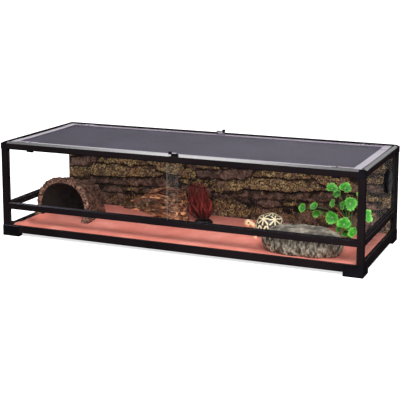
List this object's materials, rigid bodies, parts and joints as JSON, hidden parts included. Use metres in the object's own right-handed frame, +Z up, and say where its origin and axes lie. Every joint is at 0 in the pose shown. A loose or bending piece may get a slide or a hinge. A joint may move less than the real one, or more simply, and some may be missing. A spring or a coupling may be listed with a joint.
{
  "type": "reptile terrarium",
  "caption": "Long glazed terrarium on an aluminium frame with sliding front doors, lift-off screen lid, cable gates, side port and a dressed interior.",
  "frame": {"origin": "on the ground at the middle of the footprint", "axes": "+X towards the right end, +Y from the doors to the back, +Z up"},
  "size_m": [1.22, 0.457, 0.3256],
  "materials": {
    "corner_plastic": "moulded black nylon, fine grain",
    "screw_steel": "zinc plated",
    "black_aluminium": "satin black powder coat on extruded aluminium",
    "tank_glass": "clear float glass",
    "door_glass": "clear float glass with ground edges",
    "gasket_rubber": "black, matt",
    "track_plastic": "extruded black vinyl",
    "base_board": "black sheet, matt",
    "mat_fabric": "salmon pile mat",
    "background_foam": "moulded foam rock relief, painted",
    "lid_aluminium": "satin grey coat on extruded aluminium",
    "lid_corner_plastic": "moulded grey nylon, satin",
    "screen_wire": "coated woven wire",
    "gate_plastic": "moulded black nylon",
    "latch_plastic": "moulded black nylon, polished",
    "port_plastic": "moulded black, polished",
    "log_bark": "bark",
    "drift_wood": "weathered wood",
    "red_leaf": "moulded leaf, dark red",
    "plant_puck": "cast resin, polished black",
    "painted_resin": "cast resin, painted",
    "rock_resin": "cast resin, stone finish",
    "green_leaf": "moulded leaf, green"
  },
  "bodies": {
    "frame": {"foot_front_left": "corner_plastic", "foot_front_right": "corner_plastic", "foot_back_left": "corner_plastic", "foot_back_right": "corner_plastic", "foot_screws": "screw_steel", "post_front_left": "black_aluminium", "post_front_right": "black_aluminium", "post_back_left": "black_aluminium", "post_back_right": "black_aluminium", "bottom_rail_front": "black_aluminium", "bottom_rail_back": "black_aluminium", "bottom_rail_left": "black_aluminium", "bottom_rail_right": "black_aluminium", "mid_rail_front": "black_aluminium", "mid_rail_left": "black_aluminium", "mid_rail_right": "black_aluminium", "top_rail_front": "black_aluminium", "top_rail_back": "black_aluminium", "top_rail_left": "black_aluminium", "top_rail_right": "black_aluminium", "top_corners": "corner_plastic", "glass_back": "tank_glass", "glass_front_lower": "tank_glass", "glass_left_upper": "tank_glass", "glass_left_lower": "tank_glass", "glass_right_upper": "tank_glass", "glass_right_lower": "tank_glass", "glazing_gaskets": "gasket_rubber", "sill_track": "track_plastic", "head_track": "track_plastic", "base_panel": "base_board", "floor_mat": "mat_fabric", "background_panel": "background_foam", "latch_studs": "screw_steel", "port_flange": "port_plastic", "port_nut": "port_plastic", "log_hide": "log_bark", "driftwood": "drift_wood", "red_plant": "red_leaf", "red_plant_base": "plant_puck", "tortoise_ornament": "painted_resin", "basking_rock": "rock_resin", "green_plant": "green_leaf"},
    "left_door": {"door_left": "door_glass"},
    "right_door": {"door_right": "door_glass"},
    "lid": {"lid_rail_front": "lid_aluminium", "lid_rail_back": "lid_aluminium", "lid_rail_left": "lid_aluminium", "lid_rail_right": "lid_aluminium", "lid_corners": "lid_corner_plastic", "lid_screen": "screen_wire", "screen_spline": "gasket_rubber"},
    "gate_fl": {"gate_front_left": "gate_plastic"},
    "gate_fr": {"gate_front_right": "gate_plastic"},
    "gate_bl": {"gate_back_left": "gate_plastic"},
    "gate_br": {"gate_back_right": "gate_plastic"},
    "front_latch": {"latch_front": "latch_plastic"},
    "back_latch": {"latch_back": "latch_plastic"},
    "port_cap_body": {"port_cap": "port_plastic"}
  },
  "joints": [
    {"name": "left_door_slide", "type": "slide", "parent": "frame", "child": "left_door", "axis": [1, 0, 0], "range_m": [0, 0.5655]},
    {"name": "right_door_slide", "type": "slide", "parent": "frame", "child": "right_door", "axis": [-1, 0, 0], "range_m": [0, 0.576]},
    {"name": "lid_lift", "type": "slide", "parent": "frame", "child": "lid", "axis": [0, 0, 1], "range_m": [0, 0.09]},
    {"name": "front_left_gate_slide", "type": "slide", "parent": "lid", "child": "gate_fl", "axis": [-1, 0, 0], "range_m": [0, 0.0344]},
    {"name": "front_right_gate_slide", "type": "slide", "parent": "lid", "child": "gate_fr", "axis": [1, 0, 0], "range_m": [0, 0.0344]},
    {"name": "back_left_gate_slide", "type": "slide", "parent": "lid", "child": "gate_bl", "axis": [-1, 0, 0], "range_m": [0, 0.0344]},
    {"name": "back_right_gate_slide", "type": "slide", "parent": "lid", "child": "gate_br", "axis": [1, 0, 0], "range_m": [0, 0.0344]},
    {"name": "front_latch_turn", "type": "hinge", "parent": "frame", "child": "front_latch", "pos_m": [0, -0.2221, 0.3186], "axis": [0, 0, 1], "range_deg": [0, 90]},
    {"name": "back_latch_turn", "type": "hinge", "parent": "frame", "child": "back_latch", "pos_m": [0, 0.2221, 0.3186], "axis": [0, 0, 1], "range_deg": [0, 90]},
    {"name": "port_cap_turn", "type": "hinge", "parent": "frame", "child": "port_cap_body", "pos_m": [0.603, 0.1183, 0.214], "axis": [1, 0, 0], "range_deg": [0, 90]}
  ]
}
